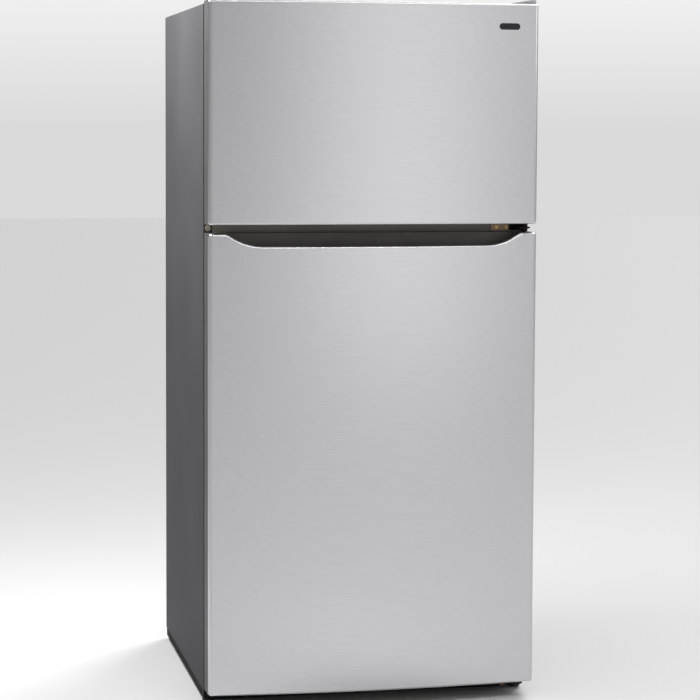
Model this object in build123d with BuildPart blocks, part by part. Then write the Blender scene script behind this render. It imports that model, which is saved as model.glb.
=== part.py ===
"""Top freezer refrigerator: a foamed steel cabinet with two right-hinged doors.

Frame: +Z up, origin on the floor under the middle of the footprint, doors at -Y,
+X on the right of a person who faces the doors. Millimetres.
"""

import math
import os

from build123d import *

os.makedirs("parts", exist_ok=True)

# ---- driving dimensions -------------------------------------------------------------
width = 826.0           # cabinet and doors
case_depth = 741.0      # cabinet without doors
door_depth = 91.0       # cabinet front to a door's front edge, gasket included
door_bulge = 24.0       # how far the middle of a door stands in front of its edges
case_low, case_top = 31.0, 1735.0
door_low, door_top = 38.0, 1740.0
fridge_high, freezer_low = 1174.0, 1196.0   # both sides of the gap between the doors

sheet = 1.0             # steel sheet
plastic = 2.0           # formed liners
bin_wall = 2.5          # moulded bins and drawers
gap = 0.3               # between faces of two bodies
wall = 58.0             # foamed side wall with its liner
fridge_floor, fridge_ceiling = 105.0, 1148.0
freezer_floor, freezer_ceiling = 1222.0, 1665.0
step_y, step_z = 165.0, 286.0         # the fridge liner steps over the machine bay
bay_y, bay_top = 208.0, 245.0         # machine bay at the bottom rear

pin_radius, bore_radius, pin_length = 5.0, 5.08, 14.0
edge_radius = 10.0      # rounded vertical edges of the doors' steel
roll_radius = 6.0       # rounded upper and lower edges of the doors' front
trim_wall, cap_height, seam_width = 8.0, 20.0, 1.2
scoop_half, scoop_depth, scoop_slope = 373.0, 30.0, 30.0
scoop_radius, scoop_corner = 134.0, 12.0
lip = 12.0              # thickness of the lip that the fingers pull
pocket_half, pocket_floor, pocket_low = 366.0, 1094.0, 1086.0

# ---- derived places -----------------------------------------------------------------
half = width / 2
y_back = (case_depth + door_depth + door_bulge) / 2
y_case = y_back - case_depth          # cabinet front
y_edge = y_case - door_depth          # door front at its left and right edges
y_nose = y_edge - door_bulge          # door front in the middle
skin_back = y_edge + 14               # where the steel front's side return ends
door_back = y_case - 12               # door's rear face, where the gasket sits
back_y = y_back - 4                   # rear panel, set in from the wrapper's edges
hinge_x, hinge_y = half - 20, y_case - 45

cave = half - wall                    # half width of both compartments
cave_back = y_back - 66
flange = half - 22                    # inner edge of the steel round the front opening
foam_front = y_case + plastic
dike_out, dike_in, dike_back = cave - 20, cave - 34, y_case + 28
bin_half, bin_back = dike_in - 3, y_case + 96
pocket_back = door_back - 20
shelf_front, shelf_back = y_case + 123, cave_back - 30
shelf_levels = (290.0, 432.0, 660.0, 885.0, 1440.0)   # the first covers the crispers
shelf_thick = 14.0
drawer_front = y_case + 113

ALONG_X, ALONG_Y, ALONG_Z = (0, 90, 0), (90, 0, 0), (0, 0, 0)


# ---- helpers ------------------------------------------------------------------------
def block(x, y, z, mode=Mode.ADD):
    """A box between two corners, joined to (or cut from) the part being built."""
    with Locations(((x[0] + x[1]) / 2, (y[0] + y[1]) / 2, (z[0] + z[1]) / 2)):
        Box(x[1] - x[0], y[1] - y[0], z[1] - z[0], mode=mode)


def rod(centre, radius, length, axis=ALONG_Z, mode=Mode.ADD):
    """A cylinder placed by its middle; axis lays it along X, Y or Z."""
    with Locations(Location(centre, axis)):
        Cylinder(radius, length, mode=mode)


def save(name, builder):
    """Labels a finished piece and writes its STEP file."""
    builder.part.label = name
    export_step(builder.part, f"parts/{name}.step")
    solids = len(builder.part.solids())
    print(f"{name}: {solids} solids, {builder.part.volume / 1000:.0f} cm3")


def front_y(x, inset=0.0):
    """Y of a door's arched front at a given X, or of the surface inset behind it."""
    radius = (half**2 + door_bulge**2) / (2 * door_bulge)
    return y_nose + radius - math.sqrt((radius - inset) ** 2 - x**2)


def door_plan(inset, side, back):
    """Face of a door seen from above: arched front, straight sides, flat back."""
    edge = front_y(side, inset)
    with BuildLine() as outline:
        ThreePointArc((-side, edge), (0, y_nose + inset), (side, edge))
        Polyline((side, edge), (side, back), (-side, back), (-side, edge))
    make_face(outline.edges())


# ---- cabinet: steel outside ---------------------------------------------------------
with BuildPart() as cabinet_wrapper:
    block((-half, half), (y_case, y_back), (case_low, case_top))
    fillet(cabinet_wrapper.edges().filter_by(Axis.Y).group_by(Axis.Z)[-1], 3)
    block((-half + sheet, half - sheet), (y_case + sheet, y_back + 1),
          (case_low - 1, case_top - sheet), Mode.SUBTRACT)
    block((-flange, flange), (y_case - 1, y_case + 2 * sheet),
          (case_low - 1, case_top - half + flange), Mode.SUBTRACT)
save("cabinet_wrapper", cabinet_wrapper)

rib_centres = (-280, -140, 0, 140, 280)
with BuildPart() as back_panel:
    block((-half + sheet, half - sheet), (back_y - sheet, back_y),
          (bay_top + sheet, case_top - sheet))
    with BuildSketch(Plane.XZ.offset(-back_y)):
        for rib_x in rib_centres:
            with Locations((rib_x, (bay_top + case_top) / 2)):
                SlotOverall(1200, 26, rotation=90)
    extrude(amount=-2.5, taper=30)
save("back_panel", back_panel)

seam = 0.1              # shrinks each slab, so that its neighbours stay separate solids


def slab(x, y, z):
    """A block that stops a hair short of its neighbours on every side."""
    block((x[0] + seam, x[1] - seam), (y[0] + seam, y[1] - seam), (z[0] + seam, z[1] - seam))


inside = (-half + sheet, half - sheet)
bay_wall = 3.0
with BuildPart() as bay_panels:
    slab(inside, (foam_front, bay_y - sheet), (case_low, case_low + sheet))
    slab(inside, (bay_y - sheet, bay_y), (case_low, bay_top + sheet))
    slab(inside, (bay_y, back_y - sheet), (bay_top, bay_top + sheet))
    for x in ((inside[0], inside[0] + bay_wall), (inside[1] - bay_wall, inside[1])):
        slab(x, (bay_y, back_y - sheet), (case_low, bay_top))
save("bay_panels", bay_panels)

mid_low, mid_high = fridge_ceiling + plastic, freezer_floor - plastic
with BuildPart() as mid_rail:
    block((-flange, flange), (y_case, foam_front), (mid_low, mid_high))
save("mid_rail", mid_rail)

# ---- cabinet: foam slabs between the steel and the liners ---------------------------
foam_side = (cave + plastic, half - sheet)
foam_inner = (-cave - plastic, cave + plastic)
foam_rear = back_y - sheet
foam_high = case_top - sheet
slabs = [
    (foam_side, (foam_front, bay_y - sheet), (case_low + sheet, bay_top + sheet)),
    (foam_side, (foam_front, foam_rear), (bay_top + sheet, foam_high)),
    (foam_inner, (foam_front, foam_rear), (freezer_ceiling + plastic, foam_high)),
    (foam_inner, (cave_back + plastic, foam_rear), (step_z - plastic,
                                                    freezer_ceiling + plastic)),
    (foam_inner, (foam_front, cave_back + plastic), (mid_low, mid_high)),
    (foam_inner, (foam_front, step_y + plastic), (case_low + sheet,
                                                  fridge_floor - plastic)),
    (foam_inner, (step_y + plastic, bay_y - sheet), (case_low + sheet, step_z - plastic)),
    (foam_inner, (bay_y - sheet, foam_rear), (bay_top + sheet, step_z - plastic)),
]
with BuildPart() as cabinet_insulation:
    for x, y, z in slabs:
        slab(x, y, z)
        if x == foam_side:
            slab((-x[1], -x[0]), y, z)
save("cabinet_insulation", cabinet_insulation)

# ---- cabinet: liners ----------------------------------------------------------------
ledge_width, ledge_height = 7.0, 4.0    # ribs on the side walls that carry the shelves


def shelf_ledges(levels, back):
    """Ribs on both side walls, one pair under each shelf."""
    for level in levels:
        for side in (-1, 1):
            x = sorted((side * (cave - ledge_width), side * (cave + 0.5)))
            block(x, (shelf_front + 10, back), (level - ledge_height, level))


with BuildPart() as fridge_liner:
    block((-cave - plastic, cave + plastic), (y_case, cave_back + plastic),
          (fridge_floor - plastic, fridge_ceiling + plastic))
    block((-flange, flange), (y_case, foam_front), (case_low + sheet, mid_low))
    block((-half, half), (step_y + plastic, cave_back + 5), (0, step_z - plastic),
          Mode.SUBTRACT)
    block((-cave, cave), (y_case - 1, step_y), (fridge_floor, fridge_ceiling), Mode.SUBTRACT)
    block((-cave, cave), (step_y - 1, cave_back), (step_z, fridge_ceiling), Mode.SUBTRACT)
    shelf_ledges(shelf_levels[:4], shelf_back)
save("fridge_liner", fridge_liner)

with BuildPart() as freezer_liner:
    block((-cave - plastic, cave + plastic), (y_case, cave_back + plastic),
          (mid_high, freezer_ceiling + plastic))
    block((-flange, flange), (y_case, foam_front), (mid_high, case_top - half + flange))
    block((-cave, cave), (y_case - 1, cave_back), (freezer_floor, freezer_ceiling),
          Mode.SUBTRACT)
    shelf_ledges(shelf_levels[4:], cave_back - 80)
save("freezer_liner", freezer_liner)

# ---- chassis, rollers and levelling legs --------------------------------------------
rail_x = half - 15.5
roller_y, roller_radius, roller_width = y_back - 48, 15.0, 20.0
leg_y, leg_radius = y_case + 28, 6.0
tray_z = 24.0
with BuildPart() as base_frame:
    for side in (-1, 1):
        with Locations((side * rail_x, (foam_front + back_y - sheet) / 2, 20.5)):
            Box(29, back_y - sheet - foam_front, 21)
        x = sorted((side * (rail_x - 11), side * (rail_x + 11)))
        block(x, (roller_y - 18, roller_y + 18), (5, case_low + 1), Mode.SUBTRACT)
        rod((side * rail_x, roller_y, roller_radius), 4, 26, ALONG_X)
        rod((side * rail_x, leg_y, 20.5), leg_radius + 0.08, 30, ALONG_Z, Mode.SUBTRACT)
    block((-rail_x + 14, rail_x - 14), (bay_y, back_y - sheet), (tray_z, tray_z + 3))
    block((-rail_x + 14, rail_x - 14), (leg_y - 12, leg_y + 12), (12, case_low))
save("base_frame", base_frame)

for side, word in ((-1, "left"), (1, "right")):
    with BuildPart() as roller:
        rod((side * rail_x, roller_y, roller_radius), roller_radius, roller_width, ALONG_X)
        chamfer(roller.edges().filter_by(GeomType.CIRCLE), 1.5)
        rod((side * rail_x, roller_y, roller_radius), 4.08, roller_width + 1, ALONG_X,
            Mode.SUBTRACT)
    save(f"rear_roller_{word}", roller)

    with BuildPart() as leg:
        rod((side * rail_x, leg_y, 4), 15, 8)
        chamfer(leg.edges().group_by(Axis.Z)[-1], 2)
        rod((side * rail_x, leg_y, 19), leg_radius, 22)
    save(f"levelling_leg_{word}", leg)

# ---- hinges -------------------------------------------------------------------------
plate_left, arm_left, hinge_right = 352.0, 374.0, half - 7
arm_front = hinge_y - 14              # the arms reach just past the pins
arm_low, arm_top = door_top + 0.8, door_top + 3.8
with BuildPart() as top_hinge:
    block((plate_left, hinge_right), (y_case + 7, y_case + 87), (case_top, case_top + 3))
    block((arm_left, hinge_right), (y_case + 4, y_case + 7), (case_top, arm_top))
    block((arm_left, hinge_right), (arm_front, y_case + 7), (arm_low, arm_top))
    rod((hinge_x, hinge_y, (door_top - pin_length + arm_top) / 2), pin_radius,
        pin_length + arm_top - door_top)
    rod((hinge_x, hinge_y, arm_top + 1.2), 7.5, 2.6)
save("top_hinge", top_hinge)

# A low wedge: thin at its left end, highest over the pin.
cover_left, cover_right = 345.0, half - 0.5
cover_front, cover_rear = hinge_y - 24, y_case + 100


def cover_profile(inset, floor):
    """Wedge seen from the front; inset shrinks it for the hollow."""
    left, right = cover_left + inset, cover_right - inset
    with BuildLine() as outline:
        Polyline((left, floor), (left + 4, door_top + 3 - inset),
                 (right - 5, door_top + 12.5 - inset), (right, door_top + 9 - inset),
                 (right, floor), (left, floor))
    make_face(outline.edges())


with BuildPart() as top_hinge_cover:
    with BuildSketch(Plane.XZ.offset(-cover_front)):
        cover_profile(0, case_top + gap)
    extrude(amount=cover_front - cover_rear)
    fillet(top_hinge_cover.edges().filter_by(Axis.Z), 2.5)
    block((0, half + 1), (cover_front - 1, y_case + 1), (case_top - 1, door_top + 0.5),
          Mode.SUBTRACT)
    with BuildSketch(Plane.XZ.offset(-cover_front - 2)):
        cover_profile(2, case_top - 1)
    extrude(amount=cover_front - cover_rear + 4, mode=Mode.SUBTRACT)
save("top_hinge_cover", top_hinge_cover)

mid_z = (fridge_high + freezer_low) / 2
leaf_left = 319.0                     # the middle hinge's leaf is screwed to the mid rail
with BuildPart() as middle_hinge:
    block((leaf_left, hinge_right), (y_case - 3, y_case), (mid_z - 8, mid_z + 8))
    block((arm_left, hinge_right), (arm_front, y_case - 2), (mid_z - 2, mid_z + 2))
    fillet(middle_hinge.edges().filter_by(Axis.Z).group_by(Axis.Y)[0], 8)
    rod((hinge_x, hinge_y, mid_z), pin_radius, freezer_low - fridge_high + 2 * pin_length)
    rod((hinge_x, hinge_y, mid_z), 8.5, 18)
save("middle_hinge", middle_hinge)

foot_low = 10.0                       # lower edge of the bottom hinge and the kick plate
with BuildPart() as bottom_hinge:
    block((plate_left, hinge_right), (y_case - 4, y_case), (foot_low, door_low - 2))
    block((plate_left, hinge_right), (y_case, foam_front), (foot_low, case_low))
    block((arm_left, hinge_right), (arm_front, y_case - 3), (door_low - 6, door_low - 2))
    rod((hinge_x, hinge_y, door_low - 4 + pin_length / 2), pin_radius, pin_length + 4)
save("bottom_hinge", bottom_hinge)

with BuildPart() as hinge_hole_caps:
    rod((-half + 11, y_case - 1.5, mid_z), 7, 3, ALONG_Y)
    fillet(hinge_hole_caps.edges().group_by(Axis.Y)[0], 1.2)
    for x in (-hinge_x, -hinge_x + 40):
        rod((x, y_case + 40, case_top + 1), 7, 2)
save("hinge_hole_caps", hinge_hole_caps)

# ---- machine bay --------------------------------------------------------------------
cover_low, cover_high = case_low + 4, bay_top - 1
gland_x, gland_z = -330.0, 80.0
with BuildPart() as machine_cover:
    block((-half + 3, half - 3), (back_y - sheet, back_y), (cover_low, cover_high))
    with BuildSketch(Plane.XZ.offset(-back_y - 2)):
        with GridLocations(86, 15, 8, 9):
            with Locations((28, (cover_low + cover_high) / 2)):
                SlotOverall(66, 6)
        with Locations((gland_x, gland_z)):
            Circle(12, mode=Mode.SUBTRACT)
    extrude(amount=5, mode=Mode.SUBTRACT)
    rod((gland_x, back_y, gland_z), 8, 6, ALONG_Y, Mode.SUBTRACT)
save("machine_cover", machine_cover)

with BuildPart() as cord_gland:
    rod((gland_x, back_y + 1.5, gland_z), 12, 3, ALONG_Y)
    fillet(cord_gland.edges().group_by(Axis.Y)[-1], 1)
    rod((gland_x, back_y - 2, gland_z), 7.9, 4, ALONG_Y)
    rod((gland_x, back_y, gland_z), 4, 12, ALONG_Y, Mode.SUBTRACT)
save("cord_gland", cord_gland)

bay_middle = (bay_y + back_y) / 2
tray_top = tray_z + 3
compressor_x, compressor_radius = -235.0, 78.0
shell_low, shell_foot, shell_shoulder, shell_top = 44.0, 62.0, 140.0, 204.0
mount_top, plate_half = 40.0, 85.0
with BuildPart() as compressor:
    shell_side = compressor_x + compressor_radius
    with BuildSketch(Plane.XZ.offset(-bay_middle)):
        with BuildLine():
            Line((compressor_x, shell_low), (compressor_x + 60, shell_low))
            TangentArc((compressor_x + 60, shell_low), (shell_side, shell_foot),
                       tangent=(1, 0))
            Line((shell_side, shell_foot), (shell_side, shell_shoulder))
            ThreePointArc((shell_side, shell_shoulder), (compressor_x + 58, 186),
                          (compressor_x, shell_top))
            Line((compressor_x, shell_top), (compressor_x, shell_low))
        make_face()
    revolve(axis=Axis((compressor_x, bay_middle, 0), (0, 0, 1)))
    rod((compressor_x, bay_middle, 118), compressor_radius + 3, 6)    # welded seam
    block((compressor_x - plate_half, compressor_x + plate_half),
          (bay_middle - plate_half, bay_middle + plate_half), (mount_top, shell_low))
    block((compressor_x - 98, compressor_x - 70), (bay_middle - 28, bay_middle + 28),
          (85, 150))                                                  # terminal cover
    for tube_y, tube_z, tube_radius in ((20, 90, 4), (-20, 120, 3)):
        rod((compressor_x + 90, bay_middle + tube_y, tube_z), tube_radius, 40, ALONG_X)
save("compressor", compressor)

with BuildPart() as compressor_mounts:
    with Locations((compressor_x, bay_middle, (tray_top + mount_top) / 2)):
        with GridLocations(140, 140, 2, 2):
            Cylinder(11, mount_top - tray_top)
    chamfer(compressor_mounts.edges().group_by(Axis.Z)[0], 2)
save("compressor_mounts", compressor_mounts)

pan_x, pan_y = (20, 330), (bay_y + 12, back_y - 14)
with BuildPart() as drain_pan:
    block(pan_x, pan_y, (tray_top, tray_top + 34))
    chamfer(drain_pan.edges().filter_by(Axis.Z), 8)
    offset(amount=-2, openings=drain_pan.faces().sort_by(Axis.Z)[-1])
save("drain_pan", drain_pan)


def finned_coil(name, x, y, z, fins, rows, legs=None):
    """Parallel fins with straight tubes through them and a header at each end."""
    pitch = (x[1] - x[0]) / (fins - 1)
    middle_x = (x[0] + x[1]) / 2
    with BuildPart() as coil:
        for k in range(fins):
            fin_x = x[0] + k * pitch
            block((fin_x - 0.5, fin_x + 0.5), y, z)
        row_pitch = (z[1] - z[0]) / rows
        for k in range(rows):
            tube_z = z[0] + (k + 0.5) * row_pitch
            for tube_y in (y[0] * 0.75 + y[1] * 0.25, y[0] * 0.25 + y[1] * 0.75):
                rod((middle_x, tube_y, tube_z), 4, x[1] - x[0] + 24, ALONG_X)
        for end in (x[0] - 10, x[1] + 10):
            block((end - 3, end + 3), (y[0] + 6, y[1] - 6), z)
        if legs:
            block((x[0] - 13, x[1] + 13), (y[0] + 10, y[0] + 16), legs)
    save(name, coil)


finned_coil("condenser_coil", (52, 298), (bay_y + 30, back_y - 32), (80, 200), 22, 5,
            (tray_top + 2, 80.5))
evaporator_y = (cave_back - 62, cave_back - 8)
finned_coil("evaporator_coil", (-262, 262), evaporator_y,
            (freezer_floor + 22, freezer_floor + 212), 36, 6)

# ---- fans and their motors ----------------------------------------------------------
bay_fan = (-30.0, bay_middle, 130.0)          # turns about X
cold_fan = (0.0, cave_back - 38, 1545.0)      # turns about Y
motor_radius, shaft_radius = 22.0, 3.0


def fan(name, plane, radius):
    """Five pitched blades on a hub; the plane's Z is the axle."""
    with BuildPart(plane) as rotor:
        with PolarLocations(radius * 0.56, 5):
            Box(radius * 0.86, radius * 0.62, 1.8, rotation=(26, 0, 0))
        Cylinder(radius, 40, mode=Mode.INTERSECT)
        Cylinder(radius * 0.25, 20)
        Cylinder(shaft_radius + 0.06, 30, mode=Mode.SUBTRACT)
    save(name, rotor)


fan("condenser_fan", Plane(origin=bay_fan, x_dir=(0, 1, 0), z_dir=(1, 0, 0)), 66)
fan("evaporator_fan", Plane(origin=cold_fan, x_dir=(1, 0, 0), z_dir=(0, 1, 0)), 58)

with BuildPart() as fan_motors:
    rod((bay_fan[0] + 30, bay_fan[1], bay_fan[2]), motor_radius, 34, ALONG_X)
    rod((bay_fan[0] + 10, bay_fan[1], bay_fan[2]), shaft_radius, 36, ALONG_X)
    block((bay_fan[0] + 26, bay_fan[0] + 34), (bay_middle - 20, bay_middle + 20),
          (tray_top, bay_fan[2]))
    rod((0, cave_back - 12, cold_fan[2]), motor_radius, 24, ALONG_Y)
    rod((0, cave_back - 28, cold_fan[2]), shaft_radius, 36, ALONG_Y)
save("fan_motors", fan_motors)

# ---- inside the compartments --------------------------------------------------------
cover_y = cave_back - 74
with BuildPart() as evaporator_cover:
    block((-cave + 1, cave - 1), (cover_y, cover_y + 3),
          (freezer_floor + 1, freezer_ceiling - 1))
    for side in (-1, 1):
        x = sorted((side * (cave - 1), side * (cave - 4)))
        block(x, (cover_y + 2, cave_back - 1), (freezer_floor + 1, freezer_ceiling - 1))
    with BuildSketch(Plane.XZ.offset(-cover_y + 1)):
        with Locations((0, cold_fan[2])):
            with PolarLocations(38, 12, start_angle=15):
                SlotOverall(38, 8)
        with Locations((0, freezer_ceiling - 24)):
            with GridLocations(70, 1, 8, 1):
                SlotOverall(54, 8)
        with Locations((0, freezer_floor + 14)):
            with GridLocations(70, 1, 8, 1):
                SlotOverall(54, 10)
    extrude(amount=-5, mode=Mode.SUBTRACT)
save("evaporator_cover", evaporator_cover)

duct_front = shelf_back + 6
with BuildPart() as air_duct:
    block((-75, 75), (duct_front, cave_back), (step_z + 40, fridge_ceiling - 24))
    chamfer(air_duct.edges().filter_by(Axis.Z).group_by(Axis.Y)[0], 8)
    offset(amount=-2, openings=air_duct.faces().sort_by(Axis.Y)[-1])
    with BuildSketch(Plane.XZ.offset(-duct_front + 1)):
        for level in shelf_levels[1:4]:
            with Locations((0, level + 120), (0, level + 96)):
                SlotOverall(84, 9)
    extrude(amount=-5, mode=Mode.SUBTRACT)
save("air_duct", air_duct)

panel_front, panel_back = y_case + 51, y_case + 185
switch_x = 300.0
fridge_switch_z, freezer_switch_z = fridge_ceiling - 27, freezer_ceiling - 27
with BuildPart() as ceiling_housings:
    block((-150, 330), (panel_front, panel_back), (fridge_ceiling - 42, fridge_ceiling))
    block((switch_x - 16, switch_x + 16), (panel_front, panel_front + 42),
          (freezer_ceiling - 42, freezer_ceiling))
    fillet(ceiling_housings.edges().filter_by(Axis.X).group_by(Axis.Z)[0], 5)
    for x, z, length in ((0, fridge_switch_z, 40), (switch_x, fridge_switch_z, 60),
                         (switch_x, freezer_switch_z, 60)):
        rod((x, panel_front, z), 4.08, length, ALONG_Y, Mode.SUBTRACT)
save("ceiling_housings", ceiling_housings)

for name, z in (("fridge_light_switch", fridge_switch_z),
                ("freezer_light_switch", freezer_switch_z)):
    tip = dike_back + 0.5
    with BuildPart() as plunger:
        rod((switch_x, tip + 20, z), 4, 40, ALONG_Y)
        fillet(plunger.edges().group_by(Axis.Y)[0], 2)
    save(name, plunger)

with BuildPart() as temperature_dial:
    rod((0, panel_front - gap - 5, fridge_switch_z), 14, 10, ALONG_Y)
    chamfer(temperature_dial.edges().group_by(Axis.Y)[0], 1.5)
    rod((0, panel_front + 3, fridge_switch_z), 4, 16, ALONG_Y)
    block((-2, 2), (panel_front - gap - 14, panel_front - gap - 9),
          (fridge_switch_z - 12, fridge_switch_z + 12))
save("temperature_dial", temperature_dial)

with BuildPart() as lamp_lenses:
    block((-70, 70), (panel_back + 8, panel_back + 68), (fridge_ceiling - 12, fridge_ceiling))
    block((-45, 45), (panel_back - 20, panel_back + 30),
          (freezer_ceiling - 10, freezer_ceiling))
    fillet(lamp_lenses.edges().filter_by(Axis.Z), 8)
save("lamp_lenses", lamp_lenses)

rim = 16.0              # moulded frame round each glass
with BuildPart() as shelf_frames:
    for level in shelf_levels:
        back = shelf_back if level < freezer_floor else cover_y - 6
        block((-cave + 2, cave - 2), (shelf_front, back), (level, level + shelf_thick))
        block((-cave + rim, cave - rim), (shelf_front + rim, back - rim),
              (level - 1, level + shelf_thick + 1), Mode.SUBTRACT)
        for side in (-1, 1):
            x = sorted((side * (cave - rim - 5), side * (cave - rim + 1)))
            block(x, (shelf_front + rim, back - rim), (level, level + 4))
    fillet(shelf_frames.edges().filter_by(Axis.X).group_by(Axis.Y)[0], 3)
save("shelf_frames", shelf_frames)

with BuildPart() as shelf_glasses:
    for level in shelf_levels:
        back = shelf_back if level < freezer_floor else cover_y - 6
        block((-cave + rim, cave - rim), (shelf_front + rim, back - rim),
              (level + 4, level + 8))
save("shelf_glasses", shelf_glasses)


def open_tray(x, y, z, corner):
    """An open-topped box of even wall; its two corners at the highest Y are rounded."""
    for inset, floor, mode in ((0, z[0], Mode.ADD),
                               (bin_wall, z[0] + bin_wall, Mode.SUBTRACT)):
        with BuildSketch(Plane.XY.offset(floor)) as plan:
            with Locations(((x[0] + x[1]) / 2, (y[0] + y[1]) / 2)):
                Rectangle(x[1] - x[0] - 2 * inset, y[1] - y[0] - 2 * inset)
            fillet(plan.vertices().group_by(Axis.Y)[-1], corner - inset)
        extrude(plan.sketch, amount=z[1] - floor, mode=mode)


def drawer(name, x, back, z):
    """An open tray with a grip along the top of its front."""
    grip = (z[1] - 26, z[1])
    with BuildPart() as tray:
        open_tray(x, (drawer_front, back), z, 14)
        block((x[0] + 4, x[1] - 4), (drawer_front - 12, drawer_front), grip)
        block((x[0] + 14, x[1] - 14), (drawer_front - 9, drawer_front),
              (grip[0] - 1, grip[1] - 3), Mode.SUBTRACT)
    save(name, tray)


drawer("crisper_left", (-cave + 9, -4), step_y - 8, (fridge_floor + 1, shelf_levels[0] - 9))
drawer("crisper_right", (4, cave - 9), step_y - 8, (fridge_floor + 1, shelf_levels[0] - 9))
drawer("deli_drawer", (-cave + 15, 60), 300, (shelf_levels[0] + 18, shelf_levels[1] - 10))


# ---- doors --------------------------------------------------------------------------
def cut_scoop(depth_back, drop=0.0):
    """Cuts the dipped top edge: an S-curve down to a flat, and back up; drop lowers it."""
    turn = math.radians(scoop_slope)
    rise = (scoop_radius + scoop_corner) * (1 - math.cos(turn))
    slope_run = (scoop_depth - rise) / math.tan(turn)
    flat = scoop_half - (scoop_radius + scoop_corner) * math.sin(turn) - slope_run
    high, low = fridge_high - drop, fridge_high - drop - scoop_depth
    with BuildSketch(Plane.XZ.offset(-y_nose + 2)) as scoop:
        with BuildLine():
            Line((-flat, low), (flat, low))
            for side in (-1, 1):
                lower = JernArc((side * flat, low), (side, 0), scoop_radius,
                                side * scoop_slope)
                foot = lower @ 1
                head = (foot.X + side * slope_run,
                        foot.Y + slope_run * math.tan(turn))
                Line(foot, head)
                upper = JernArc(head, (side * math.cos(turn), math.sin(turn)),
                                scoop_corner, -side * scoop_slope)
                Line(upper @ 1, (side * scoop_half, high + 9))
            Line((-scoop_half, high + 9), (scoop_half, high + 9))
        make_face()
    extrude(scoop.sketch, amount=y_nose - 2 - depth_back, mode=Mode.SUBTRACT)


def cap_plan(back):
    """Face of the space inside a door's steel: wide at the front, trims beside it."""
    door_plan(sheet, half - sheet, skin_back)
    with Locations((0, (skin_back - 2 + back) / 2)):
        Rectangle(2 * (half - trim_wall), back - skin_back + 2)


def round_front(builder):
    """Rounds the two front corners to fit inside the steel's rounded edges."""
    fillet(builder.edges().filter_by(Axis.Z).group_by(Axis.Y)[0], edge_radius - sheet)


def roll_end(builder, outer):
    """Rounds a cap's front rim at its outer end: outer is -1 for the top, 0 for the bottom."""
    rim = builder.edges().group_by(Axis.Z)[outer].filter_by_position(
        Axis.Y, y_nose - 1, skin_back - 0.5)
    fillet(rim, roll_radius)


def door_cap(name, low, high, bore_z):
    """An end cap with the hinge pin's bore; bore_z is the bore's lowest and highest Z."""
    with BuildPart() as cap:
        with BuildSketch(Plane.XY.offset(low)):
            cap_plan(door_back - plastic)
        extrude(amount=high - low)
        round_front(cap)
        roll_end(cap, 0 if low in (door_low, freezer_low) else -1)
        if low == pocket_low:
            with BuildSketch(Plane.XY.offset(pocket_floor)):
                door_plan(lip, pocket_half, pocket_back)
            extrude(amount=high - pocket_floor + 1, mode=Mode.SUBTRACT)
            cut_scoop(pocket_back - 10, roll_radius)
        rod((hinge_x, hinge_y, sum(bore_z) / 2), bore_radius, bore_z[1] - bore_z[0],
            ALONG_Z, Mode.SUBTRACT)
    save(name, cap)


def door(name, low, high, top_cap_low, opening, bins):
    """Every piece that one door carries; opening is its compartment's floor and ceiling."""
    with BuildPart() as skin:
        with BuildSketch(Plane.XY.offset(low)):
            door_plan(0, half, skin_back)
        extrude(amount=high - low)
        fillet(skin.edges().filter_by(Axis.Z).group_by(Axis.Y)[0], edge_radius)
        ends = skin.faces().sort_by(Axis.Z)
        back = skin.faces().sort_by(Axis.Y)[-1]
        offset(amount=-sheet, openings=[ends[0], ends[-1], back])
        if top_cap_low == pocket_low:
            cut_scoop(skin_back - 2)
    save(f"{name}_door_skin", skin)

    with BuildPart() as core:
        with BuildSketch(Plane.XY.offset(low + cap_height)):
            cap_plan(door_back - plastic)
        extrude(amount=top_cap_low - low - cap_height)
        round_front(core)
    save(f"{name}_door_insulation", core)

    depth = pin_length + 1.5
    door_cap(f"{name}_door_top_cap", top_cap_low, high, (high - depth, high + 1))
    door_cap(f"{name}_door_bottom_cap", low, low + cap_height, (low - 1, low + depth))

    with BuildPart() as trims:
        for side in (-1, 1):
            x = sorted((side * (half - trim_wall), side * half))
            block(x, (skin_back + seam_width, door_back), (low, high))
        fillet(trims.edges().filter_by(Axis.Z).group_by(Axis.Y)[-1], 3)
    save(f"{name}_door_side_trims", trims)

    dike = (opening[0] + 20, opening[1] - 20)
    with BuildPart() as liner:
        block((-half + trim_wall, half - trim_wall), (door_back - plastic, door_back),
              (low, high))
        block((-dike_out, dike_out), (door_back, dike_back), dike)
        fillet(liner.edges().group_by(Axis.Y)[-1], 5)
        block((-dike_in, dike_in), (door_back, dike_back + 1), (dike[0] + 14, dike[1] - 14),
              Mode.SUBTRACT)
    save(f"{name}_door_liner", liner)

    seal_low, seal_high = max(low + 6, opening[0] - 20), min(high - 6, opening[1] + 20)
    with BuildPart() as gasket:
        for inset, y in ((0, (door_back, door_back + 5)), (3, (door_back + 5, y_case - gap))):
            block((-half + 24 + inset, half - 24 - inset), y,
                  (seal_low + inset, seal_high - inset))
            rim_in = 20 - inset
            block((-half + 24 + rim_in, half - 24 - rim_in), (y[0] - 1, y[1] + 1),
                  (seal_low + rim_in - 2, seal_high - rim_in + 2), Mode.SUBTRACT)
    save(f"{name}_gasket", gasket)

    with BuildPart() as trays:
        for heights in bins:
            open_tray((-bin_half, bin_half), (door_back, bin_back), heights, 12)
    save(f"{name}_door_bins", trays)


door("fridge", door_low, fridge_high, pocket_low, (fridge_floor, fridge_ceiling),
     ((142, 270), (410, 520), (670, 780)))
door("freezer", freezer_low, door_top, door_top - cap_height,
     (freezer_floor, freezer_ceiling), ((1260, 1350), (1455, 1545)))

dairy_x, dairy_z = (-bin_half, 20.0), (900.0, 1000.0)
with BuildPart() as dairy_box:
    open_tray(dairy_x, (door_back, bin_back), dairy_z, 10)
save("dairy_box", dairy_box)

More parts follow.
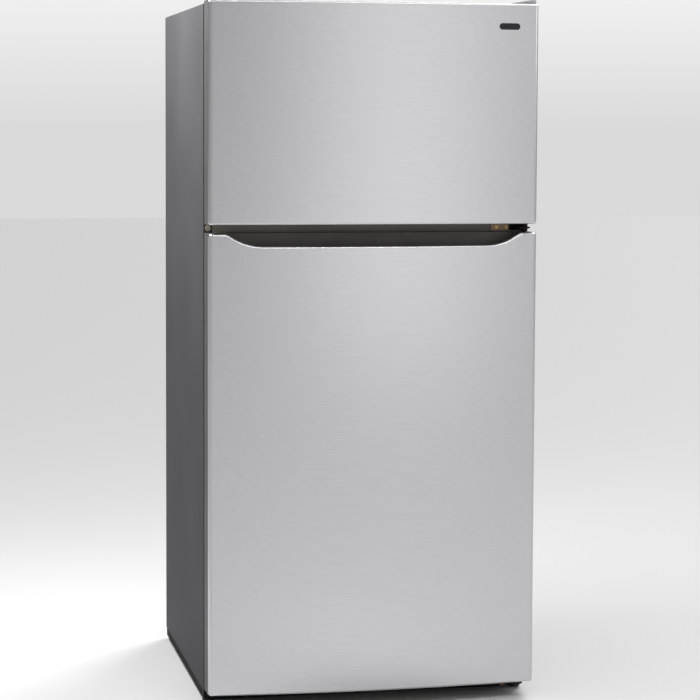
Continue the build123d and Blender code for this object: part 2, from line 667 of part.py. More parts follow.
lid_axis_y, lid_axis_z = door_back + 8, dairy_z[1] + 4
with BuildPart() as dairy_lid:
    block((dairy_x[0] + 1, dairy_x[1] - 1), (lid_axis_y - 1, bin_back + 3),
          (dairy_z[1] + 0.5, dairy_z[1] + 3))
    block((dairy_x[0] + 1, dairy_x[1] - 1), (bin_back + 0.6, bin_back + 3),
          (dairy_z[1] - 16, dairy_z[1] + 3))
    rod((sum(dairy_x) / 2, lid_axis_y, lid_axis_z), 2.5, dairy_x[1] - dairy_x[0] - 2,
        ALONG_X)
save("dairy_lid", dairy_lid)

# ---- trim and fasteners -------------------------------------------------------------
badge_x, badge_z, badge_proud = 336.0, 1684.0, 1.2
with BuildPart() as badge:
    with BuildSketch(Plane.XZ.offset(-y_nose + badge_proud + 1)):
        with Locations((badge_x, badge_z)):
            SlotOverall(54, 16)
    extrude(amount=y_nose - skin_back)
    for inset, mode in ((-badge_proud, Mode.INTERSECT), (0, Mode.SUBTRACT)):
        with BuildSketch(Plane.XY.offset(freezer_low)):
            door_plan(inset, half, skin_back)
        extrude(amount=door_top - freezer_low, mode=mode)
save("badge", badge)

kick_left, kick_right = -half + 8, plate_left - 4
with BuildPart() as kick_plate:
    block((kick_left, kick_right), (y_case - 12, foam_front), (foot_low, case_low - 1))
    fillet(kick_plate.edges().filter_by(Axis.X).group_by(Axis.Y)[0], 3)
    with BuildSketch(Plane.XZ.offset(-y_case + 14)):
        with Locations(((kick_left + kick_right) / 2, (foot_low + case_low - 1) / 2)):
            with GridLocations(58, 1, 11, 1):
                SlotOverall(44, 8)
    extrude(amount=-10, mode=Mode.SUBTRACT)
save("kick_plate", kick_plate)


def screw(centre, axis, facing):
    """A pan head with a straight slot; facing is 1 or -1 along the axis."""
    rod(centre, 4.5, 2.4, axis)
    with Locations(Location(centre, axis)):
        with Locations((0, 0, facing)):
            Box(7, 1.2, 1.2, mode=Mode.SUBTRACT)


with BuildPart() as screws:
    for x in (360, 380):
        for y in (y_case + 40, y_case + 74):
            screw((x, y, case_top + 4.2), ALONG_Z, 1)
    for x in (leaf_left + 13, leaf_left + 38):
        screw((x, y_case - 4.2, mid_z), ALONG_Y, 1)
    screw((362, y_case - 5.2, 23), ALONG_Y, 1)
    screw((398, y_case - 5.2, 23), ALONG_Y, 1)
    for x in (-390, -210, -70, 70, 210, 390):
        screw((x, back_y + 1.2, case_top - 14), ALONG_Y, -1)
    for x in (-400, 400):
        for z in (60, bay_top - 20, 500, 900, 1300):
            screw((x, back_y + 1.2, z), ALONG_Y, -1)
save("screws", screws)
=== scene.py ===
# %% [markdown]
# # A top freezer refrigerator
# The design model fixes every size and every moving part. This file gives it its looks:
# brushed steel doors with rolled edges, folded door seals, enamel, moulded plastic, glass
# and soft studio light. Everything is in metres, +Z up, with the doors facing -Y.

# %% Load the fixed frame
import math

import bmesh
import bpy
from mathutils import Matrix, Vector


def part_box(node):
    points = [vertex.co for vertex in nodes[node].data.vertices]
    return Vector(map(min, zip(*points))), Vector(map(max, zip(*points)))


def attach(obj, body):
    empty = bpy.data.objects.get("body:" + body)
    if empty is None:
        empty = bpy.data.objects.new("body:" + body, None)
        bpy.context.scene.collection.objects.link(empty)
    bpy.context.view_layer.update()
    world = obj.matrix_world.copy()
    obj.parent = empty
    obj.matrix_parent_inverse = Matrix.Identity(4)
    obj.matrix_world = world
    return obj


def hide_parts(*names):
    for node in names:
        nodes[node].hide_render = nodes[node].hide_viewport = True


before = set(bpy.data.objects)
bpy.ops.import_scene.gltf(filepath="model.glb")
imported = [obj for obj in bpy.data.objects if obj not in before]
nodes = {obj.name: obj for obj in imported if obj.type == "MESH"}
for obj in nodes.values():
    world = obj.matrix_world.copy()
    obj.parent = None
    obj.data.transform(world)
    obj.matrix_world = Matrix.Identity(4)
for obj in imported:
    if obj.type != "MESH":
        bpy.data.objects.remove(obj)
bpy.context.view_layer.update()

MM = 0.001

# %% [markdown]
# ## Colours
# Paint charts and screens give colours as sRGB hex values, but a shader works with linear
# light. One function does the conversion, so that every colour below can be read as hex.

# %% Hex to linear


def linear(hex_colour):
    """sRGB hex, such as #8a8b8d, to the linear RGBA that a shader socket takes."""
    channels = [int(hex_colour[i:i + 2], 16) / 255 for i in (1, 3, 5)]
    return [c / 12.92 if c <= 0.04045 else ((c + 0.055) / 1.055) ** 2.4
            for c in channels] + [1.0]


print("mid grey", [round(c, 3) for c in linear("#808080")])

# %% [markdown]
# ## Building node trees
# A procedural finish is a few nodes: where a point is, a pattern at that place, and what
# the pattern does to height, roughness or colour. `add` places one node, sets it and links
# it. `finish` starts a material from plain values, set straight on the shader's sockets.

# %% Node helpers


def add(tree, kind, inputs=None, **settings):
    """Adds a node. settings are its properties; inputs are values or outputs that feed it."""
    made = tree.nodes.new("ShaderNode" + kind)
    for name, value in settings.items():
        setattr(made, name, value)
    for name, value in (inputs or {}).items():
        if isinstance(value, bpy.types.NodeSocket):
            tree.links.new(value, made.inputs[name])
        else:
            made.inputs[name].default_value = value
    return made


def finish(name, colour, roughness, **plain):
    """A material with plain values; returns it with its tree and its shader."""
    material = bpy.data.materials.new(name)
    material.use_nodes = True
    tree = material.node_tree
    shader = tree.nodes["Principled BSDF"]
    shader.inputs["Base Color"].default_value = linear(colour)
    shader.inputs["Roughness"].default_value = roughness
    for socket, value in plain.items():
        shader.inputs[socket.replace("_", " ")].default_value = value
    return material, tree, shader


# %% [markdown]
# ## Grain
# No moulded or painted surface is perfectly even. Spark-eroded mould grain and the orange
# peel of enamel are both small bumps, so one function draws them: it needs the width of
# one grain and its height, and lets the roughness wander with the same pattern.

# %% Grain for moulded and painted surfaces


def add_grain(tree, shader, width, height, wander=0.04):
    """Bumps of this width and height in metres; wander is how far the roughness moves."""
    place = add(tree, "TexCoord").outputs["Object"]
    grain = add(tree, "TexNoise", {"Vector": place, "Scale": 1 / width, "Detail": 2.0})
    bump = add(tree, "Bump", {"Height": grain.outputs["Fac"], "Distance": height})
    tree.links.new(bump.outputs["Normal"], shader.inputs["Normal"])
    middle = shader.inputs["Roughness"].default_value
    sheen = add(tree, "MapRange", {"Value": grain.outputs["Fac"], "To Min": middle - wander,
                                   "To Max": middle + wander})
    tree.links.new(sheen.outputs["Result"], shader.inputs["Roughness"])


def add_drift(tree, shader, first, second, size):
    """Lets the colour drift between two near shades over patches of this size in metres."""
    place = add(tree, "TexCoord").outputs["Object"]
    patches = add(tree, "TexNoise", {"Vector": place, "Scale": 1 / size, "Detail": 3.0})
    shade = add(tree, "ValToRGB", {"Fac": patches.outputs["Fac"]})
    shade.color_ramp.elements[0].position = 0.35
    shade.color_ramp.elements[0].color = linear(first)
    shade.color_ramp.elements[1].position = 0.65
    shade.color_ramp.elements[1].color = linear(second)
    tree.links.new(shade.outputs["Color"], shader.inputs["Base Color"])


# %% [markdown]
# ## Brushed stainless steel
# The door fronts are 430 stainless, brushed along the width with an abrasive belt. Each
# scratch is tens of millimetres long and about 0.1 mm wide. Light that hits it spreads
# up and down, across the scratches, so the door shows tall soft bands. A real scratch is
# too fine to show at this distance, so it is drawn 1.3 mm wide. The scratches are noise
# stretched along X; they move the roughness, the shade and, a little, the height. The
# tangent runs round the Z axis, so the stretched highlight follows the bow of the doors.

# %% Brushed stainless steel
scratch_length, scratch_width = 240 * MM, 1.3 * MM
scratch_depth = 0.005 * MM
dark_streak, pale_streak = 0.3, 0.7             # the share of the noise that really shows

brushed_steel, tree, shader = finish("brushed stainless steel", "#cfd0d3", 0.34,
                                     Metallic=1.0, Anisotropic=0.6)
place = add(tree, "TexCoord").outputs["Object"]
stretched = add(tree, "Mapping", {
    "Vector": place, "Scale": (1 / scratch_length, 1 / scratch_width, 1 / scratch_width)})
scratches = add(tree, "TexNoise", {"Vector": stretched.outputs["Vector"], "Scale": 1.0,
                                   "Detail": 4.0, "Roughness": 0.6})
shade = add(tree, "ValToRGB", {"Fac": scratches.outputs["Fac"]})
shade.color_ramp.elements[0].position = dark_streak
shade.color_ramp.elements[0].color = linear("#cacacc")
shade.color_ramp.elements[1].position = pale_streak
shade.color_ramp.elements[1].color = linear("#d4d4d6")
tree.links.new(shade.outputs["Color"], shader.inputs["Base Color"])
sheen = add(tree, "MapRange", {"Value": scratches.outputs["Fac"], "From Min": dark_streak,
                               "From Max": pale_streak, "To Min": 0.32, "To Max": 0.36})
tree.links.new(sheen.outputs["Result"], shader.inputs["Roughness"])
furrows = add(tree, "Bump", {"Height": scratches.outputs["Fac"], "Distance": scratch_depth})
tree.links.new(furrows.outputs["Normal"], shader.inputs["Normal"])
around = add(tree, "Tangent", direction_type="RADIAL", axis="Z")
tree.links.new(around.outputs["Tangent"], shader.inputs["Tangent"])
print("scratches", round(scratch_length / MM), "by", round(scratch_width / MM, 1), "mm")

# %% [markdown]
# ## Enamelled and plated steel
# The cabinet is pre-painted sheet in a dark grey with a fine texture of about 1.5 mm,
# matt enough to hide fingerprints. The rail between the doors is painted lighter and warmer
# than the cabinet, as painted light that lifts the shade of the gap between the doors. The
# rear is hot-dip galvanised, whose zinc freezes in patches about 12 mm across. The kick
# plate is powder coated in a black that hardly shines, and the chassis gets the same black
# as painted shade: it reads as the shadow line under the cabinet. The top hinge is zinc
# plated. The lower two are passivated to a dull bronze, and the arms that reach under the
# doors are dipped in black. Screws are yellow passivated, and the compressor and the
# condenser are black enamel.

# %% Steel finishes
grey_paint, tree, shader = finish("textured grey enamel", "#49494b", 0.65,
                                  Specular_IOR_Level=0.1)
add_drift(tree, shader, "#464648", "#4c4c4e", 350 * MM)
add_grain(tree, shader, 1.5 * MM, 0.03 * MM)

# Painted light: the rail's enamel is lightened and warmed so that the shaded gap between the
# doors does not read too dark.
rail_paint_with_painted_light, tree, shader = finish("rail enamel with painted light", "#8c857c", 0.42, Specular_IOR_Level=0.35)
add_drift(tree, shader, "#867f76", "#928b82", 120 * MM)
add_grain(tree, shader, 1.2 * MM, 0.02 * MM)

spangle_width = 12 * MM
galvanised, tree, shader = finish("galvanised steel", "#9fa2a5", 0.45, Metallic=0.85)
place = add(tree, "TexCoord").outputs["Object"]
spangle = add(tree, "TexVoronoi", {"Vector": place, "Scale": 1 / spangle_width})
zinc = add(tree, "ValToRGB", {"Fac": spangle.outputs["Color"]})
zinc.color_ramp.elements[0].color = linear("#94979a")
zinc.color_ramp.elements[1].color = linear("#b2b5b8")
tree.links.new(zinc.outputs["Color"], shader.inputs["Base Color"])
dull = add(tree, "MapRange", {"Value": spangle.outputs["Color"], "To Min": 0.38,
                              "To Max": 0.55})
tree.links.new(dull.outputs["Result"], shader.inputs["Roughness"])

black_enamel, tree, shader = finish("black enamel", "#18191a", 0.3, Coat_Weight=0.3)
add_grain(tree, shader, 2.5 * MM, 0.04 * MM)

# Partly painted shade: the chassis takes this black so that it reads as the shadow line under
# the cabinet; the kick plate's black is its own.
black_coat_and_painted_shade, tree, shader = finish("black powder coat and painted shade", "#121213", 0.75,
                                    Specular_IOR_Level=0.15)
add_grain(tree, shader, 1.5 * MM, 0.03 * MM)

zinc_plate, tree, shader = finish("zinc plate", "#a8a69f", 0.36, Metallic=1.0)
add_drift(tree, shader, "#9d9b94", "#b4b2ab", 15 * MM)
add_grain(tree, shader, 0.8 * MM, 0.01 * MM)

dip_starts, dip_full = 362 * MM, 366 * MM       # X where the black dip begins and covers
hinge_steel, tree, shader = finish("bronze passivated steel", "#7d6e5c", 0.42, Metallic=1.0)
place = add(tree, "SeparateXYZ", {"Vector": add(tree, "TexCoord").outputs["Object"]})
black_end = add(tree, "MapRange", {"Value": place.outputs["X"], "From Min": dip_starts,
                                   "From Max": dip_full})
coating = add(tree, "ValToRGB", {"Fac": black_end.outputs["Result"]})
coating.color_ramp.elements[0].color = linear("#85725f")
coating.color_ramp.elements[1].color = linear("#232120")
tree.links.new(coating.outputs["Color"], shader.inputs["Base Color"])
add_grain(tree, shader, 1.2 * MM, 0.03 * MM)

yellow_zinc, tree, shader = finish("yellow zinc plate", "#a98d5c", 0.38, Metallic=1.0)
add_drift(tree, shader, "#a08452", "#b4996b", 6 * MM)
add_grain(tree, shader, 0.6 * MM, 0.01 * MM)

fin_aluminium, tree, shader = finish("mill finish aluminium", "#b9bcc0", 0.32, Metallic=1.0)
add_grain(tree, shader, 1.0 * MM, 0.02 * MM)
print(len(bpy.data.materials), "metals so far")

# %% [markdown]
# ## Plastics, rubber and foam
# The liners are vacuum-formed HIPS: white, satin, with the faint orange peel of a stretched
# sheet. Caps, trims and the hinge cover are moulded ABS with a fine spark-eroded grain.
# The seals are soft grey PVC. Moving plastics, such as rollers and fans, are black
# polypropylene, a little waxy. The foam is polyurethane, yellow and full of tiny cells.

# %% Plastics, rubber and foam
white_hips, tree, shader = finish("white HIPS liner", "#eceeee", 0.32)
add_drift(tree, shader, "#e9ebeb", "#f1f2f2", 200 * MM)
add_grain(tree, shader, 4 * MM, 0.03 * MM)

dark_abs, tree, shader = finish("dark grey ABS", "#5a5652", 0.5)
add_drift(tree, shader, "#56524e", "#5f5b57", 60 * MM)
add_grain(tree, shader, 0.9 * MM, 0.03 * MM)

trim_abs, tree, shader = finish("mid grey ABS", "#404041", 0.55)
add_drift(tree, shader, "#3d3d3e", "#444445", 150 * MM)
add_grain(tree, shader, 0.9 * MM, 0.02 * MM)

pale_abs, tree, shader = finish("pale grey ABS", "#b4b5b7", 0.42)
add_drift(tree, shader, "#b0b1b3", "#babbbd", 60 * MM)
add_grain(tree, shader, 0.9 * MM, 0.02 * MM)

white_abs, tree, shader = finish("white ABS", "#e3e4e5", 0.38)
add_drift(tree, shader, "#dfe0e1", "#e8e9ea", 80 * MM)
add_grain(tree, shader, 0.9 * MM, 0.02 * MM)

beige_nylon, tree, shader = finish("beige nylon", "#b9af9b", 0.45)
add_drift(tree, shader, "#b2a894", "#c2b8a5", 6 * MM)
add_grain(tree, shader, 0.7 * MM, 0.02 * MM)

grey_pvc, tree, shader = finish("soft grey PVC", "#8c8d8f", 0.55)
add_drift(tree, shader, "#87888a", "#939496", 70 * MM)
add_grain(tree, shader, 0.8 * MM, 0.02 * MM)

black_pp, tree, shader = finish("black polypropylene", "#1e1f20", 0.5)
add_drift(tree, shader, "#1b1c1d", "#242526", 30 * MM)
add_grain(tree, shader, 1.0 * MM, 0.03 * MM)

black_rubber, tree, shader = finish("black rubber", "#141415", 0.75)
add_drift(tree, shader, "#121213", "#19191a", 12 * MM)
add_grain(tree, shader, 0.7 * MM, 0.04 * MM)

foam, tree, shader = finish("polyurethane foam", "#d5bf80", 0.9)
add_drift(tree, shader, "#c9b070", "#dccb94", 25 * MM)
add_grain(tree, shader, 1.2 * MM, 0.3 * MM)

badge_black, tree, shader = finish("gloss black ABS", "#16171a", 0.18, Coat_Weight=0.4)
add_grain(tree, shader, 1.5 * MM, 0.004 * MM, 0.02)
print(len(bpy.data.materials), "materials so far")

# %% [markdown]
# ## Clear plastic and glass
# Bins and drawers are clear polystyrene, IOR 1.59, faintly blue, with moulding ripples.
# The shelves are 4 mm float glass, IOR 1.52, whose iron makes it slightly green. The lamp
# lenses are acrylic with a sandblasted inner face, so light passes but shapes don't.

# %% Clear materials
clear_ps, tree, shader = finish("clear polystyrene", "#f7fafc", 0.05, IOR=1.59,
                                Transmission_Weight=0.97)
add_drift(tree, shader, "#f4f8fb", "#fafcfd", 90 * MM)
add_grain(tree, shader, 9 * MM, 0.05 * MM, 0.03)

shelf_glass, tree, shader = finish("float glass", "#eef8f4", 0.03, IOR=1.52,
                                   Transmission_Weight=0.95)
add_drift(tree, shader, "#eaf6f1", "#f2faf7", 120 * MM)
add_grain(tree, shader, 60 * MM, 0.05 * MM, 0.01)

frosted_acrylic, tree, shader = finish("frosted acrylic", "#f4f3ec", 0.55, IOR=1.49,
                                       Transmission_Weight=0.5)
add_grain(tree, shader, 0.8 * MM, 0.05 * MM)

# %% [markdown]
# ## Dressing the design model's nodes
# A node whose shape is right stays as it is and only gets its finish. The table reads like
# a bill of materials: one finish, and the pieces that are made of it.

# %% Finishes for the carried nodes
finish_of = {
    grey_paint: ["cabinet_wrapper"],
    # the mid rail wears the lightened enamel, painted light for the shaded gap between the
    # doors
    rail_paint_with_painted_light: ["mid_rail"],
    galvanised: ["back_panel", "bay_panels", "machine_cover"],
    zinc_plate: ["top_hinge", "fan_motors"],
    yellow_zinc: ["screws"],
    hinge_steel: ["middle_hinge", "bottom_hinge"],
    black_enamel: ["compressor", "condenser_coil"],
    # the base frame's black is painted shade, the shadow line under the cabinet; the kick
    # plate is really black
    black_coat_and_painted_shade: ["base_frame", "kick_plate"],
    fin_aluminium: ["evaporator_coil"],
    white_hips: ["fridge_liner", "freezer_liner", "fridge_door_liner", "freezer_door_liner",
                 "evaporator_cover", "air_duct"],
    white_abs: ["ceiling_housings", "fridge_light_switch", "freezer_light_switch",
                "shelf_frames", "evaporator_fan"],
    dark_abs: ["fridge_door_top_cap", "fridge_door_bottom_cap", "freezer_door_top_cap",
               "freezer_door_bottom_cap"],
    trim_abs: ["fridge_door_side_trims", "freezer_door_side_trims"],
    pale_abs: ["top_hinge_cover", "temperature_dial"],
    beige_nylon: ["hinge_hole_caps"],
    black_pp: ["rear_roller_left", "rear_roller_right", "levelling_leg_left",
               "levelling_leg_right", "condenser_fan", "drain_pan"],
    black_rubber: ["cord_gland", "compressor_mounts"],
    foam: ["cabinet_insulation", "fridge_door_insulation", "freezer_door_insulation"],
    clear_ps: ["fridge_door_bins", "freezer_door_bins", "dairy_box", "dairy_lid",
               "crisper_left", "crisper_right", "deli_drawer"],
    shelf_glass: ["shelf_glasses"],
    frosted_acrylic: ["lamp_lenses"],
    badge_black: ["badge"],
}


def wear(piece, material):
    """Gives a piece one finish, in every material slot that it has."""
    if not piece.material_slots:
        piece.data.materials.append(material)
    for slot in piece.material_slots:
        slot.material = material


for material, names in finish_of.items():
    for name in names:
        wear(nodes[name], material)
dressed = {name for names in finish_of.values() for name in names}
print("still to make:", sorted(set(nodes) - dressed))

# %% [markdown]
# ## Making a mesh from rows of points
# Most pressed and extruded pieces are a section carried along a path. If every row of
# points has the same length, the faces are simply the squares between neighbours.

# %% Mesh from a grid of points


def mesh_from_rows(name, rows, close_rows=False, close_columns=False):
    """Skins a grid of points with quads and returns the object, shaded smooth."""
    mesh = bmesh.new()
    grid = [[mesh.verts.new(point) for point in row] for row in rows]
    tall, wide = len(grid), len(grid[0])
    for i in range(tall if close_columns else tall - 1):
        for j in range(wide if close_rows else wide - 1):
            a, b = grid[i], grid[(i + 1) % tall]
            mesh.faces.new((a[j], a[(j + 1) % wide], b[(j + 1) % wide], b[j]))
    bmesh.ops.recalc_face_normals(mesh, faces=mesh.faces)
    data = bpy.data.meshes.new(name)
    mesh.to_mesh(data)
    mesh.free()
    data.polygons.foreach_set("use_smooth", [True] * len(data.polygons))
    piece = bpy.data.objects.new(name, data)
    bpy.context.scene.collection.objects.link(piece)
    print(name, len(data.vertices), "points")
    return piece


# %% [markdown]
# ## The bowed door fronts
# A real front is one steel sheet: bowed in a press, folded round both sides with a 10 mm
# radius, and rolled over at its top and bottom with 6 mm. Those small radii matter most
# to the eye, because they catch a bright line along every edge. The outline seen from
# above is a side, a corner arc, the long bow, and the same back again.

# %% Outline of a door front from above
bow, corner, roll, side_depth = 24 * MM, 10 * MM, 6 * MM, 14 * MM
side_steps, corner_steps, bow_steps = 4, 8, 240


def front_outline(half, nose):
    """Points (x, y) and outward normals along the front, from its left side to its right."""
    radius = (half**2 + bow**2) / (2 * bow)
    centre_y = nose + radius
    reach = math.sqrt((radius - corner) ** 2 - (half - corner) ** 2)
    corner_y = centre_y - reach
    turn = math.atan2(half - corner, reach)         # half of the angle that the bow spans
    edge_y = nose + radius - math.sqrt(radius**2 - half**2)
    outline = []
    for k in range(side_steps):                     # left side, from its rear edge
        y = edge_y + side_depth + (corner_y - edge_y - side_depth) * k / side_steps
        outline.append((-half, y, -1.0, 0.0))
    for k in range(corner_steps + 1):               # left corner
        angle = math.pi + (math.pi / 2 - turn) * k / corner_steps
        nx, ny = math.cos(angle), math.sin(angle)
        outline.append((-half + corner + corner * nx, corner_y + corner * ny, nx, ny))
    mirrored = [(-x, y, -nx, ny) for x, y, nx, ny in reversed(outline)]
    for k in range(1, bow_steps):                   # the bow, up to the right corner
        angle = -math.pi / 2 - turn + 2 * turn * k / bow_steps
        nx, ny = math.cos(angle), math.sin(angle)
        outline.append((radius * nx, centre_y + radius * ny, nx, ny))
    return outline + mirrored


# %% [markdown]
# ## The dip in the lower door
# The lower door's top edge dips 30 mm so that a hand can reach behind it. Its outline is
# an S: a wide arc out of the flat, a straight at 30 degrees, and a tight arc back up.

# %% Depth of the dip at a given place
dip_half, dip_depth, dip_slope = 373 * MM, 30 * MM, math.radians(30)
wide_arc, tight_arc = 134 * MM, 12 * MM
arc_rise = 1 - math.cos(dip_slope)
slope_run = (dip_depth - (wide_arc + tight_arc) * arc_rise) / math.tan(dip_slope)
dip_flat = dip_half - (wide_arc + tight_arc) * math.sin(dip_slope) - slope_run


def dip(x):
    """How far the door's top edge lies below its corners at a given X."""
    out = abs(x) - dip_flat
    arc_run = wide_arc * math.sin(dip_slope)
    if out <= 0:
        return dip_depth
    if out <= arc_run:
        return dip_depth - wide_arc + math.sqrt(wide_arc**2 - out**2)
    if out <= arc_run + slope_run:
        return dip_depth - wide_arc * arc_rise - (out - arc_run) * math.tan(dip_slope)
    left = dip_half - abs(x)
    return tight_arc - math.sqrt(tight_arc**2 - left**2) if left > 0 else 0.0


print("dip", [round(dip(x) * 1000, 1) for x in (0, 0.3, 0.34, 0.36, 0.37)])

# %% [markdown]
# ## Rolling the sheet's edges
# At each place along the outline the sheet has a section: a short flange, a quarter roll,
# the flat front, another roll, and a flange again. At the dip the upper flange is wider,
# because there the steel wraps over the 12 mm lip that the fingers pull. It widens over
# the first 6 mm of the dip, so that no corner stands out.

# %% Door fronts
lip_width, lip_starts = 12 * MM, 6 * MM
lower_hem, upper_hem = 0.2 * MM, 0.3 * MM       # flange past the roll, away from the dip
roll_steps, front_steps = 6, 26


def quarter(count):
    """Sine and cosine pairs for a quarter turn."""
    return [(math.sin(math.pi / 2 * k / count), math.cos(math.pi / 2 * k / count))
            for k in range(count + 1)]


def section(low, top, flange):
    """(distance behind the surface, height) from the lower flange up to the upper one."""
    flat = top - low - 2 * roll
    points = [(roll + lower_hem, low)]
    points += [(roll - roll * s, low + roll - roll * c) for s, c in quarter(roll_steps)]
    points += [(0.0, low + roll + flat * k / front_steps) for k in range(1, front_steps)]
    points += [(roll - roll * c, top - roll + roll * s) for s, c in quarter(roll_steps)]
    points += [(flange, top), (flange, top - roll)]
    return points


def door_front(name, node, body, dipped):
    """The steel front of one door, in place of the design model's plain sheet."""
    low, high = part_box(node)
    columns = []
    for x, y, nx, ny in front_outline(high.x, low.y):
        depth = dip(x) if dipped else 0.0
        share = min(depth / lip_starts, 1.0)
        flange = roll + upper_hem + share * (lip_width - roll - upper_hem)
        columns.append([(x - nx * d, y - ny * d, z)
                        for d, z in section(low.z, high.z - depth, flange)])
    front = mesh_from_rows(name, columns)
    front.modifiers.new("even shading", "WEIGHTED_NORMAL")
    wear(front, brushed_steel)
    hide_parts(node)
    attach(front, body)
    return front


door_front("fridge_door_front", "fridge_door_skin", "fridge_door", True)
door_front("freezer_door_front", "freezer_door_skin", "freezer_door", False)
dressed |= {"fridge_door_skin", "freezer_door_skin"}

# %% [markdown]
# ## Door seals
# A seal is one extruded PVC section: a foot pushed into the door liner, two bellows folds
# and a square tube that holds a magnet strip. It is welded into a ring, so a section
# carried round a rounded rectangle draws it exactly.

# %% Door seals
seal_corner = 21 * MM
# (distance in from the ring's outer edge, height above the door), in millimetres
seal_section = [(0.4, 0), (19.6, 0), (19.6, 1.6), (15.5, 2.2), (17.6, 3.8), (15.2, 5.4),
                (17.0, 6.4), (17.0, 11.2), (16.4, 11.7), (3.6, 11.7), (3.0, 11.2),
                (3.0, 6.4), (4.8, 5.4), (2.4, 3.8), (4.5, 2.2), (0.4, 1.6)]


def ring(low, high, radius, steps=8):
    """Points (x, z) and inward normals round a rounded rectangle."""
    left, right = low.x + radius, high.x - radius
    bottom, top = low.z + radius, high.z - radius
    corners = [(right, top, 0.0), (left, top, 0.25), (left, bottom, 0.5),
               (right, bottom, 0.75)]           # centre x, centre z, turn where it starts
    points = []
    for x, z, start in corners:
        for k in range(steps + 1):
            angle = 2 * math.pi * (start + 0.25 * k / steps)
            c, s = math.cos(angle), math.sin(angle)
            points.append((x + radius * c, z + radius * s, -c, -s))
    return points


def door_seal(name, node, body):
    """A bellows seal in place of the design model's plain ring."""
    low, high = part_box(node)
    rows = [[(x + nx * inward * MM, low.y + up * MM, z + nz * inward * MM)
             for inward, up in seal_section]
            for x, z, nx, nz in ring(low, high, seal_corner)]
    seal = mesh_from_rows(name, rows, close_rows=True, close_columns=True)
    seal.data.polygons.foreach_set("use_smooth", [False] * len(seal.data.polygons))
    rounded = seal.modifiers.new("soft folds", "BEVEL")
    rounded.width = 0.5 * MM
    rounded.segments = 2
    rounded.harden_normals = True
    wear(seal, grey_pvc)
    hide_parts(node)
    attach(seal, body)


door_seal("fridge_door_seal", "fridge_gasket", "fridge_door")
door_seal("freezer_door_seal", "freezer_gasket", "freezer_door")
dressed |= {"fridge_gasket", "freezer_gasket"}
print("still to make:", sorted(set(nodes) - dressed))

# %% [markdown]
# ## The floor
# A pale, slightly glossy studio floor that is part of the stage and not of the object.

# %% Studio floor
floor_span = 60                                 # metres, far enough to meet the backdrop
floor_paint, tree, shader = finish("pale studio floor", "#dedede", 0.6)
add_grain(tree, shader, 3 * MM, 0.02 * MM)
bpy.ops.mesh.primitive_plane_add(size=floor_span, location=(0, 0, 0))
floor = bpy.context.object
floor.name = "studio_floor"
wear(floor, floor_paint)

# %% [markdown]
# ## Light
# Steel shows its surroundings, so the light is built as a room. One wide soft panel in
# front, a little to the right, gives the doors their broad bright band. A panel on the
# right lights the rounded right edges, and a narrow one above the doors draws a thin white
# line along every rolled top edge and along the lip of the dip. The left is left darker,
# so that the left side of the doors and the cabinet fall into grey, but a panel high on
# the left makes the cabinet's side brightest at its top. The last lamp is a wide, soft
# overhead light from behind on the right. It reaches no front: its shadow falls forward
# and to the left, and darkens the floor that the lower door mirrors.

# %% Light panels


def panel(name, place, aim, size, power, spread=180):
    """A rectangular light that faces a point; spread is its beam in degrees."""
    data = bpy.data.lights.new(name, "AREA")
    data.shape = "RECTANGLE"
    data.size, data.size_y = size
    data.energy = power
    data.spread = math.radians(spread)
    light = bpy.data.objects.new(name, data)
    light.location = place
    light.rotation_euler = (Vector(aim) - Vector(place)).to_track_quat("-Z", "Y").to_euler()
    bpy.context.scene.collection.objects.link(light)
    light.visible_camera = False


panel("front panel", (1.25, -4.9, 1.9), (0.0, -0.4, 1.3), (1.5, 3.2), 19)
panel("right panel", (3.6, -1.9, 2.3), (0.4, -0.4, 1.5), (1.2, 1.3), 18)
panel("upper panel", (0.4, -2.3, 3.5), (0.0, -0.43, 1.2), (3.0, 0.4), 3.4, 60)
panel("left high panel", (-1.05, 0.05, 2.35), (-0.41, 0.0, 1.5), (0.8, 0.5), 46)

overhead = bpy.data.objects.new("overhead light",
                                bpy.data.lights.new("overhead light", "SUN"))
overhead.data.energy = 2.0
overhead.data.angle = math.radians(30)
overhead_aim = Vector((-0.5, -0.55, -0.67))
overhead.rotation_euler = overhead_aim.to_track_quat("-Z", "Y").to_euler()
bpy.context.scene.collection.objects.link(overhead)
print(len(bpy.data.lights), "lights")

# %% [markdown]
# ## The room
# The world is the rest of the room. Seen directly it is a plain pale backdrop that starts
# close to the floor's own tone, so that the horizon stays faint. As a light it is a grey
# wall in front and a darker one behind, which shades the far edge of each rounded side,
# and a brighter ceiling that lifts every rolled top edge.

# %% World
front_wall, rear_wall, ceiling_extra = 0.36, 0.17, 0.5
horizon_tone, backdrop_tone = 0.7, 1.0

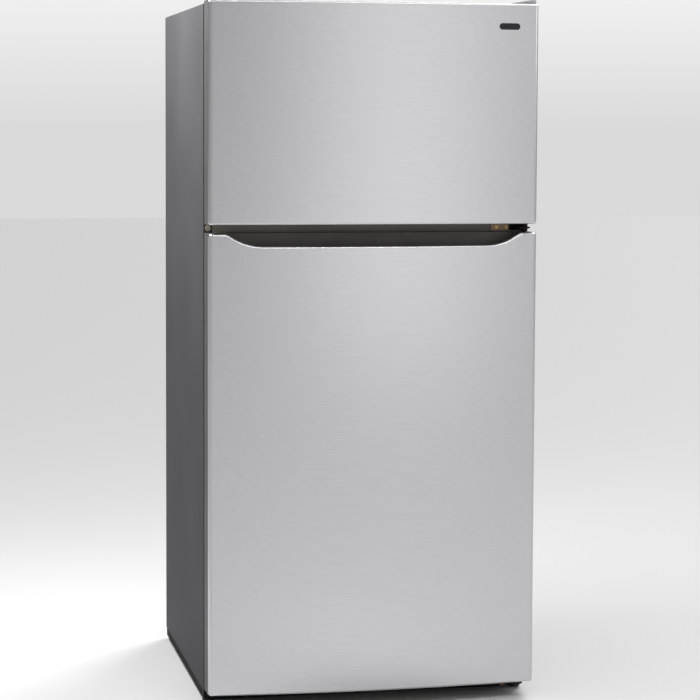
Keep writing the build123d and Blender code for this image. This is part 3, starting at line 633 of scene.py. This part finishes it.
world = bpy.data.worlds.new("studio room")
bpy.context.scene.world = world
world.use_nodes = True
tree = world.node_tree
tree.nodes.clear()
towards = add(tree, "SeparateXYZ", {"Vector": add(tree, "TexCoord").outputs["Generated"]})
ceiling = add(tree, "MapRange", {"Value": towards.outputs["Z"], "From Min": 0.6,
                                 "From Max": 0.92, "To Min": 0.0, "To Max": ceiling_extra})
walls = add(tree, "MapRange", {"Value": towards.outputs["Y"], "From Min": -0.35,
                               "From Max": 0.55, "To Min": front_wall, "To Max": rear_wall})
both = add(tree, "Math", {0: ceiling.outputs["Result"], 1: walls.outputs["Result"]},
           operation="ADD")
room = add(tree, "Background", {"Color": linear("#ffffff"), "Strength": both.outputs[0]})
fade = add(tree, "MapRange", {"Value": towards.outputs["Z"], "From Min": 0.0,
                              "From Max": 0.1, "To Min": horizon_tone,
                              "To Max": backdrop_tone})
backdrop = add(tree, "Background", {"Color": linear("#ffffff"),
                                    "Strength": fade.outputs["Result"]})
seen = add(tree, "LightPath")
either = add(tree, "MixShader", {0: seen.outputs["Is Camera Ray"], 1: room.outputs[0],
                                 2: backdrop.outputs[0]})
add(tree, "OutputWorld", {"Surface": either.outputs[0]})

scene = bpy.context.scene
scene.view_settings.view_transform = "Standard"     # hex colours come out as they went in
scene.view_settings.look = "None"
print("walls", front_wall, "to", rear_wall)

# %% [markdown]
# ## Camera
# A long lens from chest height, a little to the left, so that the doors fill the frame and
# the cabinet's left side is seen at a shallow angle. A slight downward shift keeps the
# uprights almost parallel.

# %% Camera
camera_place = Vector((-1.1989, -5.8391, 1.4315))
camera_yaw, camera_pitch, camera_roll = 0.20604, -0.07118, 0.00414
lens, sensor, shift = 116.56, 36.0, -0.0857

camera = bpy.data.objects.new("camera", bpy.data.cameras.new("camera"))
bpy.context.scene.collection.objects.link(camera)
look = Vector((math.sin(camera_yaw) * math.cos(camera_pitch),
               math.cos(camera_yaw) * math.cos(camera_pitch), math.sin(camera_pitch)))
camera.location = camera_place
camera.rotation_euler = look.to_track_quat("-Z", "Y").to_euler()
camera.rotation_euler.rotate_axis("Z", camera_roll)
camera.data.sensor_width = sensor
camera.data.lens = lens
camera.data.shift_y = shift
camera.data.clip_end = 100
scene.camera = camera
print("lens", round(camera.data.lens, 1), "mm")

# %% [markdown]
# ## Last step
# The view layer is brought up to date.

# %% Closing update
bpy.context.view_layer.update()
